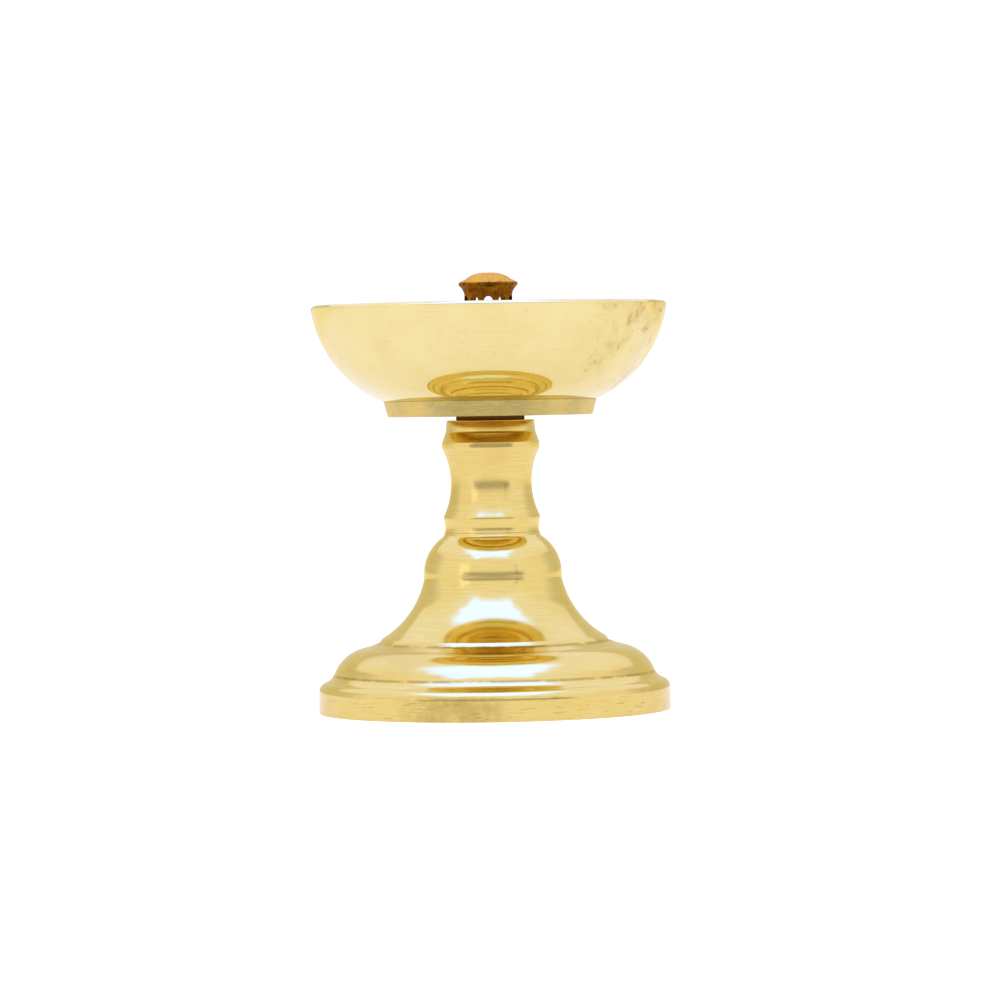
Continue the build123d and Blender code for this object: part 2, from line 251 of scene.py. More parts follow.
class Finish:
    """A material under construction, with the coordinates that turned metal needs."""

    def __init__(self, name, **constants):
        self.material = bpy.data.materials.new(name)
        self.material.use_nodes = True
        self.tree = self.material.node_tree
        self.shader = self.tree.nodes["Principled BSDF"]
        for socket, value in constants.items():
            self.shader.inputs[socket.replace("_", " ")].default_value = value
        self.place = self.node("ShaderNodeTexCoord", output="Object")
        self.x = self.node("ShaderNodeSeparateXYZ", {"Vector": self.place}, output="X")
        self.y = self.node("ShaderNodeSeparateXYZ", {"Vector": self.place}, output="Y")
        self.z = self.node("ShaderNodeSeparateXYZ", {"Vector": self.place}, output="Z")
        self.r = (self.x**2.0 + self.y**2.0).math("SQRT")

    def node(self, kind, values=None, output=0, **settings):
        """Adds any node: its settings first, then the values or links of its sockets."""
        made = self.tree.nodes.new(kind)
        for setting, value in settings.items():
            setattr(made, setting, value)
        for socket, value in (values or {}).items():
            if isinstance(value, Value):
                self.tree.links.new(value.socket, made.inputs[socket])
            else:
                made.inputs[socket].default_value = value
        return Value(self.tree, made.outputs[output])

    def noise(self, size, detail=2.0, roughness=0.5, stretch=(1, 1, 1), seed=0.0, distortion=0.0):
        """Soft noise with features of a size in millimetres, stretched along each axis."""
        placed = self.node(
            "ShaderNodeMapping",
            {"Vector": self.place, "Scale": tuple(1 / s for s in stretch), "Location": (seed,) * 3},
        )
        return self.node(
            "ShaderNodeTexNoise",
            {"Vector": placed, "Scale": 1 / (size * MM), "Detail": detail, "Roughness": roughness,
             "Distortion": distortion},
        )

    def lines(self, along, size, detail=3.0, roughness=0.6, seed=0.0):
        """Fine turning lines: noise that changes along one value only, given in metres."""
        return self.node(
            "ShaderNodeTexNoise",
            {"W": along + seed, "Scale": 1 / (size * MM), "Detail": detail, "Roughness": roughness},
            noise_dimensions="1D",
        )

    def ringed(self, along, length, thickness, seed=0.0):
        """Streaks that run round the piece for a length and are a thickness wide, in millimetres."""
        placed = self.node(
            "ShaderNodeCombineXYZ",
            {"X": self.x / (length * MM) + seed, "Y": self.y / (length * MM) + seed,
             "Z": along / (thickness * MM)},
        )
        return self.node(
            "ShaderNodeTexNoise",
            {"Vector": placed, "Scale": 1.0, "Detail": 3.0, "Roughness": 0.6},
        )

    def mix(self, factor, first, second):
        """One colour over another."""
        return self.node(
            "ShaderNodeMix", {0: factor, 6: first, 7: second}, output=2, data_type="RGBA"
        )

    def bump(self, height, depth, under=None):
        """A bump whose height of 1 stands depth millimetres proud."""
        values = {"Height": height, "Strength": 1.0, "Distance": depth * MM}
        if under is not None:
            values["Normal"] = under
        return self.node("ShaderNodeBump", values)

    def wire(self, **sockets):
        """Links the varying inputs of the shader."""
        for socket, value in sockets.items():
            self.tree.links.new(value.socket, self.shader.inputs[socket.replace("_", " ")])
        return self.material


def rgba(red, green, blue):
    return (red, green, blue, 1.0)


# =============================================================== brass
BRASS = rgba(0.890, 0.763, 0.335)
BRASS_PALE = rgba(0.915, 0.790, 0.400)
BRASS_DEEP = rgba(0.820, 0.660, 0.225)
BRASS_TARNISHED = rgba(0.520, 0.370, 0.100)
BOWL_BRASS = rgba(0.915, 0.820, 0.440)
BOWL_BRASS_DULL = rgba(0.895, 0.790, 0.400)
SMUDGED_BRASS = rgba(0.80, 0.62, 0.23)
SCUFFED_BRASS = rgba(0.66, 0.52, 0.19)
CLOUDED_BRASS = rgba(0.70, 0.53, 0.19)
OIL_FILM = rgba(0.74, 0.54, 0.17)
RING_YELLOW = rgba(0.80, 0.67, 0.27)
RING_GREY = rgba(0.69, 0.60, 0.28)
# painted reflection: the dark tone laid on the front middle of the foot ring
RING_PAINTED_REFLECTION = rgba(0.56, 0.49, 0.205)
RING_STREAK = rgba(0.90, 0.72, 0.34)
BROWNED_BRASS = rgba(0.52, 0.28, 0.030)
BROWNED_DARK = rgba(0.39, 0.20, 0.020)
CAP_BRASS = rgba(0.90, 0.59, 0.125)
CAP_DULL = rgba(0.84, 0.56, 0.135)
SOOT = rgba(0.20, 0.075, 0.020)


SCUFF_LEVEL = 5.0  # the scuffs end at this height
SCUFF_DEPTH = 20.0  # and this far ahead of the axis
SMEAR_PLACE = -9.0


def scuffs(finish):
    """Dull smears and short scratches on the side of the flange, mostly to the front."""
    low = 1 - finish.z.step_up(SCUFF_LEVEL * MM, (SCUFF_LEVEL + 0.6) * MM)
    ahead = 1 - (finish.y + SCUFF_DEPTH * MM).step_up(0, 10 * MM)
    here = low * ahead
    across = (finish.x - SMEAR_PLACE * MM).math("ABSOLUTE")
    patchy = finish.noise(5.0, 4.0, 0.6, seed=5.2).step_up(0.3, 0.6)
    smear = (1 - across.step_up(7 * MM, 13 * MM)) * patchy
    scratch = finish.noise(4.0, 3.0, 0.55, stretch=(1, 1, 0.09), seed=7.9).step_up(0.60, 0.68)
    return here * smear, here * scratch


def crevice(finish, level):
    """A narrow band round the foot at a level in millimetres, where polish and dirt collect."""
    return 1 - (finish.z - level * MM).math("ABSOLUTE").step_up(0.08 * MM, 0.40 * MM)


def turned_brass(name, slope, streak_tone, line_depth, polish, blur):
    """Brass straight from the lathe: turning lines round it, and a soft wandering tone.

    slope is how many metres the lines climb for each metre that the outline widens.
    """
    finish = Finish(name, Metallic=1.0)
    wander = finish.noise(9.0, 3.0, 0.55) - 0.5
    along = finish.z + finish.r * slope + wander * (0.10 * MM)
    fine = finish.lines(along, 0.16)
    streaks = finish.ringed(along, 7.0, 0.30, seed=1.3)
    threads = finish.ringed(along, 3.0, 0.16, seed=4.9)
    bands = finish.ringed(along, 30.0, 1.6, seed=2.6)
    patches = finish.noise(14.0, 4.0, 0.6, seed=3.1)
    smudge = finish.noise(22.0, 5.0, 0.62, seed=8.3).step_up(0.5, 0.72)
    specks = finish.noise(0.5, 2.0, 0.5, seed=5.5).step_up(0.72, 0.80)
    light = (streaks * 0.45 + bands * 0.2 + threads * 0.35).step_up(0.40, 0.60)
    tone = finish.mix(light * streak_tone + (1 - streak_tone) * 0.4, BRASS_DEEP, BRASS_PALE)
    tone = finish.mix(0.45, tone, BRASS)
    tone = finish.mix(smudge * 0.34, tone, SMUDGED_BRASS)
    tone = finish.mix(specks * 0.6, tone, BRASS_TARNISHED)
    smear, scratch = scuffs(finish)
    tone = finish.mix((smear * 0.55 + scratch * 0.5).clipped(), tone, SCUFFED_BRASS)
    grime = (crevice(finish, COVE_LEVEL) + crevice(finish, STEP_LEVEL)).clipped()
    grime = grime * finish.noise(4.0, 4.0, 0.6, seed=12.6).step_up(0.32, 0.56)
    tone = finish.mix(grime * 0.55, tone, BRASS_TARNISHED)
    cut = fine * 0.35 + threads * 0.35 + streaks * 0.5
    rough = polish + (patches * 0.4 + light * 0.6) * blur + (smudge + smear + scratch + grime) * 0.05
    surface = finish.bump(cut, line_depth)
    return finish.wire(Base_Color=tone, Roughness=rough.clipped(), Normal=surface)


def bowl_brass():
    """Polished brass of the bowl, with faint rings, wiping marks, and tarnish on one side."""
    finish = Finish("polished brass", Metallic=1.0)
    along = finish.z + finish.r + finish.noise(12.0, 2.0) * (0.10 * MM)
    rings = finish.lines(along, 0.32, 4.0, 0.65)
    wipes = finish.ringed(along, 7.0, 0.35, seed=3.7)
    broad = finish.lines(along, 2.4, 2.0, 0.5, seed=0.21)
    haze = finish.noise(16.0, 5.0, 0.62, seed=2.2)
    side = (finish.x * (1 / (38 * MM))).step_up(0.35, 0.85)
    cloud = finish.noise(7.0, 5.0, 0.62, seed=9.4, distortion=0.8).step_up(0.47, 0.66)
    blotch = finish.noise(2.6, 5.0, 0.66, seed=4.4, distortion=0.5).step_up(0.50, 0.62)
    spots = finish.noise(1.1, 3.0, 0.6, seed=6.2).step_up(0.64, 0.74)
    tarnish = (cloud * 0.35 + cloud * blotch * 0.65) * side
    marks = (wipes.step_up(0.50, 0.66)) * haze.step_up(0.40, 0.60)
    tone = finish.mix(haze.step_up(0.35, 0.7), BOWL_BRASS, BOWL_BRASS_DULL)
    tone = finish.mix(marks * 0.16, tone, BRASS_DEEP)
    tone = finish.mix(tarnish * 0.95, tone, CLOUDED_BRASS)
    tone = finish.mix(spots * (0.12 + side * 0.4), tone, BRASS_TARNISHED)
    curve = BowlCurve()
    across = (finish.r - BOWL_FLAT_RADIUS * MM).math("MAXIMUM", 0.0)
    below = curve.centre * MM - finish.z
    depth = curve.radius * MM - (across**2.0 + below**2.0).math("SQRT")
    inside = depth.step_up(0.9 * MM, 1.5 * MM)
    film = inside * finish.noise(9.0, 5.0, 0.6, seed=11.3).step_up(0.40, 0.62)
    tone = finish.mix(film * 0.45, tone, OIL_FILM)
    rough = 0.02 + haze * 0.03 + marks * 0.06 + tarnish * 0.18 + inside * 0.10 + film * 0.10
    surface = finish.bump(rings * 0.5 + broad * 0.4 + wipes * 0.4, 0.0007)
    surface = finish.bump(tarnish, 0.003, surface)
    return finish.wire(Base_Color=tone, Roughness=rough.clipped(), Normal=surface)


def ring_brass():
    """The foot ring: filed and emeried, with slanting streaks, and a painted dark reflection across its
    front middle.
    """
    finish = Finish("emeried brass", Metallic=1.0)
    slanting = finish.node(
        "ShaderNodeMapping",
        {"Vector": finish.place, "Rotation": (0.0, radians(38), 0.0),
         "Scale": (1 / (3.2 * MM), 1 / (3.2 * MM), 1 / (0.45 * MM))},
    )
    streaks = finish.node(
        "ShaderNodeTexNoise",
        {"Vector": slanting, "Scale": 1.0, "Detail": 4.0, "Roughness": 0.6},
    )
    along = finish.z + finish.r * 0.2
    rings = finish.ringed(along, 8.0, 0.25, seed=2.2)
    patches = finish.noise(7.0, 4.0, 0.6, seed=1.2)
    stains = finish.noise(1.6, 5.0, 0.65, seed=7.7).step_up(0.58, 0.72)
    seam = (finish.z - span("bowl_ring")[1] * MM + 0.5 * MM).math("MAXIMUM", 0.0) / (0.5 * MM)
    grime = seam.clipped() * stains
    outside = finish.r.step_up((RING_RADIUS - RING_WIDTH) * MM, (RING_RADIUS - RING_TAPER - 0.2) * MM)
    dull_tone_and_painted_reflection = finish.mix(patches.step_up(0.35, 0.7), RING_YELLOW, RING_GREY)
    # Painted reflection: the ring's middle on the camera's side is darkened, standing in for the dark
    # strip that it would mirror.
    middle = 1 - finish.x.math("ABSOLUTE").step_up(6 * MM, 16 * MM)
    middle = middle * (1 - finish.y.step_up(-8 * MM, 0.0))
    dull_tone_and_painted_reflection = finish.mix(middle * 0.8, dull_tone_and_painted_reflection, RING_PAINTED_REFLECTION)
    tone = finish.mix(outside, BRASS_PALE, dull_tone_and_painted_reflection)
    tone = finish.mix(streaks.step_up(0.42, 0.66) * 0.30, tone, RING_STREAK)
    tone = finish.mix(rings.step_up(0.45, 0.65) * 0.15, tone, BRASS_DEEP)
    tone = finish.mix((stains * 0.25 + grime * 0.6).clipped(), tone, BRASS_TARNISHED)
    rough = 0.08 + outside * (0.14 + streaks * 0.14) + stains * 0.12
    surface = finish.bump((streaks * 0.6 + rings * 0.4) * outside, 0.010)
    return finish.wire(Base_Color=tone, Roughness=rough.clipped(), Normal=surface)


CAP_START = (0.905, 0.925)  # where the paler cap begins, as a share of the tube's height


def holder_brass():
    """The wick tube and its screw: brass browned by heat and soot, paler on top of the cap."""
    finish = Finish("heat browned brass", Metallic=1.0)
    low, high = span("wick_tube")
    height = ((finish.z - low * MM) * (1 / ((high - low) * MM))).clipped()
    cloud = finish.noise(2.4, 5.0, 0.62, seed=2.8)
    soot = finish.noise(0.9, 4.0, 0.6, seed=6.6).step_up(0.48, 0.68)
    along = finish.z + finish.r * 0.4
    lines = finish.ringed(along, 3.0, 0.20, seed=0.9)
    tone = finish.mix(cloud.step_up(0.34, 0.68), BROWNED_BRASS, BROWNED_DARK)
    tone = finish.mix(soot * 0.55, tone, SOOT)
    cap = height.step_up(*CAP_START)
    pale = finish.mix(cloud.step_up(0.3, 0.7), CAP_BRASS, CAP_DULL)
    tone = finish.mix(cap * (1 - soot * 0.25), tone, pale)
    rough = 0.20 + cloud * 0.14 + soot * 0.14 + cap * 0.10
    surface = finish.bump(lines * 0.6 + cloud * 1.2, 0.006)
    return finish.wire(Base_Color=tone, Roughness=rough.clipped(), Normal=surface)


def plated_steel():
    """Zinc plated washer and nut."""
    finish = Finish("zinc plated steel", Metallic=1.0)
    cloud = finish.noise(2.5, 4.0, 0.6)
    spangle = finish.noise(0.35, 2.0, 0.5, seed=3.3)
    tone = finish.mix(cloud.step_up(0.35, 0.7), ZINC, ZINC_YELLOWED)
    rough = 0.26 + cloud * 0.14 + spangle * 0.06
    return finish.wire(
        Base_Color=tone, Roughness=rough.clipped(), Normal=finish.bump(spangle, 0.004)
    )


RUBBER_BROWN, RUBBER_OILED = rgba(0.36, 0.215, 0.050), rgba(0.22, 0.12, 0.030)
LEATHER_DARK, LEATHER_WORN = rgba(0.060, 0.030, 0.014), rgba(0.115, 0.062, 0.030)
ZINC, ZINC_YELLOWED = rgba(0.62, 0.63, 0.64), rgba(0.70, 0.66, 0.55)


def brown_rubber():
    """The seal: matt brown rubber, darkened by oil in places."""
    finish = Finish("brown rubber", Specular_IOR_Level=0.35)
    grain = finish.noise(0.25, 3.0, 0.6)
    oiled = finish.noise(1.6, 4.0, 0.6, seed=4.1).step_up(0.5, 0.75)
    tone = finish.mix(oiled * 0.5, RUBBER_BROWN, RUBBER_OILED)
    rough = 0.62 + grain * 0.2
    return finish.wire(
        Base_Color=tone, Roughness=rough.clipped(), Normal=finish.bump(grain, 0.02)
    )


def oiled_leather():
    """The gasket under the screw's flange."""
    finish = Finish("oiled leather", Specular_IOR_Level=0.5)
    grain = finish.node(
        "ShaderNodeTexVoronoi",
        {"Vector": finish.place, "Scale": 1 / (0.45 * MM)},
        feature="DISTANCE_TO_EDGE",
    )
    cloud = finish.noise(1.8, 4.0, 0.6)
    tone = finish.mix(cloud.step_up(0.3, 0.7), LEATHER_DARK, LEATHER_WORN)
    rough = 0.42 + cloud * 0.2
    return finish.wire(
        Base_Color=tone, Roughness=rough.clipped(), Normal=finish.bump(grain, 0.03)
    )


# =============================================================== pedestal
FOOT_RIM_WIDTH = 3.0
FOOT_WALL = 2.4
CROWN_THICKNESS = 4.0
FLANGE_HEIGHT, FLANGE_ROUND_HEIGHT, FLANGE_ROUND_WIDTH = 4.6, 2.0, 1.5
FOOT_COVE_HEIGHT, FOOT_COVE_WIDTH = 1.6, 1.8
ROLL_HEIGHT, ROLL_WIDTH = 5.7, 7.0
LEDGE_WIDTH, LEDGE_RISE = 2.8, 1.0
STEP_HEIGHT, STEP_WIDTH = 0.9, 0.6
FLARE_HEIGHT = 12.5
BELL_RADIUS, BELL_UPRIGHT_HEIGHT = 14.8, 0.9
SHOULDER_HEIGHT = 8.1
NECK_RADIUS, NECK_SPREAD = 10.2, 0.5
COVE_LEVEL = FLANGE_HEIGHT + FLANGE_ROUND_HEIGHT + FOOT_COVE_HEIGHT
STEP_LEVEL = COVE_LEVEL + ROLL_HEIGHT + LEDGE_RISE
FLANGE_ROUND_BULGE, FOOT_COVE_BULGE, ROLL_BULGE = 0.16, 0.08, 0.14
FLARE_BULGE, SHOULDER_BULGE, NECK_BULGE = 0.105, 0.125, 0.1
STEM_SPIGOT_RADIUS = 4.0
HOLE_CLEARANCE = 0.1


def bell_foot(material):
    _, top = span("bell_foot")
    flange_r = reach("bell_foot")
    cove_r = flange_r - FLANGE_ROUND_WIDTH
    roll_r = cove_r - FOOT_COVE_WIDTH
    ledge_r = roll_r - ROLL_WIDTH
    step_r = ledge_r - LEDGE_WIDTH
    flare_r = step_r - STEP_WIDTH
    cove_z = FLANGE_HEIGHT + FLANGE_ROUND_HEIGHT
    roll_z = cove_z + FOOT_COVE_HEIGHT
    ledge_z = roll_z + ROLL_HEIGHT
    step_z = ledge_z + LEDGE_RISE
    flare_z = step_z + STEP_HEIGHT
    bell_z = flare_z + FLARE_HEIGHT
    shoulder_z = bell_z + BELL_UPRIGHT_HEIGHT
    neck_z = shoulder_z + SHOULDER_HEIGHT
    mouth_r = flange_r - FOOT_RIM_WIDTH
    hole_r = STEM_SPIGOT_RADIUS + HOLE_CLEARANCE
    crown_z = top - CROWN_THICKNESS
    outline = Outline(flange_r - FOOT_RIM_WIDTH / 2, 0)
    outline.line(flange_r, 0, ease=0.35)
    outline.line(flange_r, FLANGE_HEIGHT, ease=0.3)
    outline.arc(cove_r, cove_z, FLANGE_ROUND_BULGE, ease=0.14)
    outline.arc(roll_r, roll_z, -FOOT_COVE_BULGE, ease=0.2)
    outline.arc(ledge_r, ledge_z, ROLL_BULGE, ease=0.3)
    outline.line(step_r, step_z, ease=0.2)
    outline.line(flare_r, flare_z, ease=0.12)
    outline.arc(BELL_RADIUS, bell_z, -FLARE_BULGE, ease=0.5)
    outline.line(BELL_RADIUS, shoulder_z, ease=0.4)
    outline.arc(NECK_RADIUS + NECK_SPREAD, neck_z, SHOULDER_BULGE, ease=0.2)
    outline.arc(NECK_RADIUS, top, -NECK_BULGE, ease=0.06)
    outline.line(hole_r, top, ease=0.15)
    outline.line(hole_r, crown_z, ease=0.15)
    outline.line(NECK_RADIUS, crown_z, ease=0.8)
    outline.arc(BELL_RADIUS - FOOT_WALL, shoulder_z, -SHOULDER_BULGE, ease=0.4)
    outline.line(BELL_RADIUS - FOOT_WALL, bell_z, ease=0.4)
    outline.arc(flare_r, ledge_z - FOOT_WALL, FLARE_BULGE, ease=0.8)
    outline.line(roll_r - FOOT_WALL, roll_z, ease=0.8)
    outline.line(mouth_r, FLANGE_HEIGHT, ease=0.6)
    outline.line(mouth_r, 0, ease=0.25)
    outline.line(flange_r - FOOT_RIM_WIDTH / 2, 0)
    return finished(
        "bell_foot_turned", turned(outline), "pedestal", "pedestal_brass", material, "bell_foot"
    )


BAND_HEIGHT, BAND_RADIUS, BAND_BULGE = 2.9, 10.1, 0.07
EDGE_HEIGHT, EDGE_RADIUS = 0.5, 10.35
WAIST_HEIGHT, WAIST_RADIUS = 14.5, 8.65
BEAD_HEIGHT, BEAD_RADIUS = 1.3, 10.45
STEM_CONE_HEIGHT = 2.3
COLLAR_RADIUS, COLLAR_TAPER = 9.6, 0.25
SCREW_RADIUS = 3.0
THREAD_CLEARANCE = 0.05
THREAD_LEAD = 0.6
STEM_THREAD_PITCH, SCREW_THREAD_PITCH = 1.25, 1.0
SCREW_PLAIN_LENGTH = 1.0  # of the shank under its flange
TAPPED_DEPTH = 11.0


def bulge_through(start, middle_radius, end):
    """The bulge of a hollow arc whose least radius is given, between two nearly level ends."""
    chord = hypot(end[0] - start[0], end[1] - start[1])
    return -((start[0] + end[0]) / 2 - middle_radius) / chord


def stem(material):
    bottom, top = span("stem")
    base = span("bell_foot")[1]
    edge_z = base + BAND_HEIGHT
    waist_z = edge_z + EDGE_HEIGHT
    bead_z = waist_z + WAIST_HEIGHT
    cone_z = bead_z + BEAD_HEIGHT
    collar_z = cone_z + STEM_CONE_HEIGHT
    tapped_r = SCREW_RADIUS + THREAD_CLEARANCE
    waist = bulge_through((EDGE_RADIUS, waist_z), WAIST_RADIUS, (BEAD_RADIUS, bead_z))
    outline = Outline(0, bottom)
    outline.line(STEM_SPIGOT_RADIUS - THREAD_LEAD, bottom, ease=0.1)
    outline.thread(STEM_SPIGOT_RADIUS, bottom + THREAD_LEAD, base - CROWN_THICKNESS, STEM_THREAD_PITCH)
    outline.line(STEM_SPIGOT_RADIUS, base, ease=0.1)
    outline.line(BAND_RADIUS, base, ease=0.12)
    outline.arc(EDGE_RADIUS, edge_z, -BAND_BULGE, ease=0.12)
    outline.line(EDGE_RADIUS, waist_z, ease=0.2)
    outline.arc(BEAD_RADIUS, bead_z, waist, ease=0.35)
    outline.line(BEAD_RADIUS, cone_z, ease=0.12)
    outline.line(COLLAR_RADIUS, collar_z, ease=0.3)
    outline.line(COLLAR_RADIUS - COLLAR_TAPER, top, ease=0.25)
    outline.line(tapped_r, top, ease=0.5)
    outline.line(tapped_r, top - TAPPED_DEPTH, ease=0.3)
    outline.line(0, top - TAPPED_DEPTH)
    return finished(
        "stem_turned", turned(outline, 256), "pedestal", "pedestal_brass", material, "stem"
    )


# =============================================================== bowl
BOWL_RADIUS, BOWL_FLAT_RADIUS, BOWL_WALL = 38.1, 13.1, 1.8
RIM_BEVEL, RIM_INNER_EDGE = 0.55, 0.25
RIM_KNOCKED = 0.7  # how far below the rim its dents reach
NICK_SIZE, NICK_DEPTH = 1.4, 1.1
SCREW_HOLE_RADIUS = SCREW_RADIUS + HOLE_CLEARANCE
RING_RADIUS, RING_TAPER, RING_WIDTH = 22.8, 0.9, 2.6


class BowlCurve:
    """The bowl's side: an arc that leaves the flat bottom level and ends at the rim."""

    def __init__(self):
        self.bottom, self.rim = span("bowl")
        height = self.rim - self.bottom
        self.radius = ((BOWL_RADIUS - BOWL_FLAT_RADIUS) ** 2 + height**2) / (2 * height)
        self.centre = self.bottom + self.radius

    def at_height(self, height, inset=0.0):
        return BOWL_FLAT_RADIUS + sqrt((self.radius - inset) ** 2 - (height - self.centre) ** 2)

    def at_radius(self, radius):
        return self.centre - sqrt(self.radius**2 - (radius - BOWL_FLAT_RADIUS) ** 2)

    def bulge(self, start, end, inset=0.0):
        """Fullness of the arc between two of its points."""
        chord = hypot(end[0] - start[0], end[1] - start[1])
        curve = self.radius - inset
        return (curve - sqrt(curve**2 - chord**2 / 4)) / chord


def nicked(mesh, rim):
    """Small dents round the bowl's rim, from knocks."""
    for vertex in mesh.verts:
        height = vertex.co.z / MM
        above = height - rim + RIM_KNOCKED
        if above > 0:
            here = Vector((vertex.co.x, vertex.co.y, 0.0)) / (NICK_SIZE * MM)
            dent = max(0.0, noise.noise(here) - 0.42) * max(0.0, noise.noise(here / 7) + 0.3)
            vertex.co.z -= dent * above * NICK_DEPTH * MM
    return mesh


def bowl(material):
    curve = BowlCurve()
    floor = curve.bottom + BOWL_WALL
    bevel_z = curve.rim - RIM_BEVEL
    inner_z = curve.rim - RIM_INNER_EDGE
    outer_end = (curve.at_height(bevel_z), bevel_z)
    inner_start = (curve.at_height(inner_z, BOWL_WALL), inner_z)
    outer_bulge = curve.bulge((BOWL_FLAT_RADIUS, curve.bottom), outer_end)
    inner_bulge = curve.bulge(inner_start, (BOWL_FLAT_RADIUS, floor), BOWL_WALL)
    outline = Outline((SCREW_HOLE_RADIUS + BOWL_FLAT_RADIUS) / 2, curve.bottom)
    outline.line(BOWL_FLAT_RADIUS, curve.bottom)
    outline.arc(*outer_end, outer_bulge, ease=0.12)
    outline.line(outer_end[0] - RIM_BEVEL, curve.rim, ease=0.15)
    outline.line(inner_start[0] + RIM_INNER_EDGE, curve.rim, ease=0.12)
    outline.line(*inner_start, ease=0.12)
    outline.arc(BOWL_FLAT_RADIUS, floor, -inner_bulge)
    outline.line(SCREW_HOLE_RADIUS, floor, ease=0.15)
    outline.line(SCREW_HOLE_RADIUS, curve.bottom, ease=0.15)
    outline.line((SCREW_HOLE_RADIUS + BOWL_FLAT_RADIUS) / 2, curve.bottom)
    mesh = nicked(turned(outline, 512), curve.rim)
    return finished("bowl_turned", mesh, "bowl_unit", "bowl_brass", material, "bowl")


def bowl_ring(material):
    curve = BowlCurve()
    bottom = span("bowl_ring")[0]
    low_r = RING_RADIUS - RING_TAPER
    inner_r = low_r - RING_WIDTH
    outside = (RING_RADIUS, curve.at_radius(RING_RADIUS))
    inside = (inner_r, curve.at_radius(inner_r))
    outline = Outline(low_r - RING_WIDTH / 2, bottom)
    outline.line(low_r, bottom, ease=0.18)
    outline.line(*outside, ease=0.1)
    outline.arc(*inside, -curve.bulge(inside, outside), ease=0.1)
    outline.line(inner_r, bottom, ease=0.18)
    outline.line(low_r - RING_WIDTH / 2, bottom)
    return finished(
        "foot_ring_filed", turned(outline), "bowl_unit", "bowl_brass", material, "bowl_ring"
    )


# =============================================================== washers, nut and screw
def washer(name, node, inner_r, ease, body, slot, material):
    low, high = span(node)
    outer_r = reach(node)
    middle = (inner_r + outer_r) / 2
    outline = Outline(middle, low)
    outline.line(outer_r, low, ease=ease)
    outline.line(outer_r, high, ease=ease)
    outline.line(inner_r, high, ease=ease)
    outline.line(inner_r, low, ease=ease)
    outline.line(middle, low)
    return finished(name, turned(outline, 128), body, slot, material, node)


PLATED_EASE, GASKET_AND_SEAL_EASE = 0.12, 0.2
SCREW_FLANGE_THICKNESS = 1.6
SPIGOT_RADIUS = 3.35
SLOT_WIDTH, SLOT_DEPTH = 1.4, 1.5


def cut_with(piece, mesh, operation):
    """Cuts a piece with a second mesh, and leaves the result as its own mesh."""
    tool = bpy.data.objects.new("cutting tool", bpy.data.meshes.new("cutting tool"))
    mesh.to_mesh(tool.data)
    mesh.free()
    bpy.context.scene.collection.objects.link(tool)
    cut = piece.modifiers.new("cut", "BOOLEAN")
    cut.object = tool
    cut.operation = operation
    cut.solver = "EXACT"
    piece.modifiers.move(len(piece.modifiers) - 1, 0)
    graph = bpy.context.evaluated_depsgraph_get()
    result = bpy.data.meshes.new_from_object(piece.evaluated_get(graph))
    piece.modifiers.clear()
    piece.data = result
    bpy.data.objects.remove(tool)
    return piece


NUT_ACROSS_FLATS, NUT_BEVEL = 13.0, 0.6
NUT_TURN = 30  # degrees, so that corners lie along X


def stem_nut(material):
    """A hexagon nut, turned down at its corners on both faces."""
    low, high = span("stem_nut")
    bore_r = STEM_SPIGOT_RADIUS + THREAD_CLEARANCE
    corner_r = NUT_ACROSS_FLATS / sqrt(3)
    outline = Outline((bore_r + corner_r) / 2, low)
    outline.line(corner_r - NUT_BEVEL, low, ease=0.1)
    outline.line(corner_r, low + NUT_BEVEL, ease=0.1)
    outline.line(corner_r, high - NUT_BEVEL, ease=0.1)
    outline.line(corner_r - NUT_BEVEL, high, ease=0.1)
    outline.line(bore_r, high, ease=0.4)
    outline.line(bore_r, low, ease=0.4)
    outline.line((bore_r + corner_r) / 2, low)
    piece = finished(
        "stem_nut_hex", turned(outline, 96), "pedestal", "plated_steel", material, "stem_nut"
    )
    hexagon = bmesh.new()
    bmesh.ops.create_cone(
        hexagon, cap_ends=True, segments=6, radius1=corner_r * MM, radius2=corner_r * MM,
        depth=2 * (high - low) * MM,
    )
    turn = Matrix.Rotation(radians(NUT_TURN), 3, "Z")
    bmesh.ops.rotate(hexagon, cent=(0, 0, 0), matrix=turn, verts=hexagon.verts)
    bmesh.ops.translate(hexagon, verts=hexagon.verts, vec=(0, 0, (low + high) / 2 * MM))
    return cut_with(piece, hexagon, "INTERSECT")


def clamp_screw(material):
    bottom, top = span("clamp_screw")
    flange_z = span("screw_gasket")[1]
    flange_r = reach("clamp_screw")
    tube_z = flange_z + SCREW_FLANGE_THICKNESS
    outline = Outline(0, bottom)
    outline.line(SCREW_RADIUS - THREAD_LEAD, bottom, ease=0.1)
    outline.thread(SCREW_RADIUS, bottom + THREAD_LEAD, flange_z - SCREW_PLAIN_LENGTH, SCREW_THREAD_PITCH)
    outline.line(SCREW_RADIUS, flange_z, ease=0.15)
    outline.line(flange_r, flange_z, ease=0.2)
    outline.line(flange_r, tube_z, ease=0.3)
    outline.line(SPIGOT_RADIUS, tube_z, ease=0.15)
    outline.line(SPIGOT_RADIUS, top, ease=0.4)
    outline.line(0, top)
    piece = finished(
        "clamp_screw_cut", turned(outline, 128), "bowl_unit", "holder_brass", material, "clamp_screw"
    )
    slot = bmesh.new()
    bmesh.ops.create_cube(slot, size=1.0)
    slot_box = Vector((4 * SPIGOT_RADIUS, SLOT_WIDTH, 2 * SLOT_DEPTH)) * MM
    bmesh.ops.scale(slot, verts=slot.verts, vec=slot_box)
    bmesh.ops.translate(slot, verts=slot.verts, vec=(0, 0, top * MM))
    return cut_with(piece, slot, "DIFFERENCE")


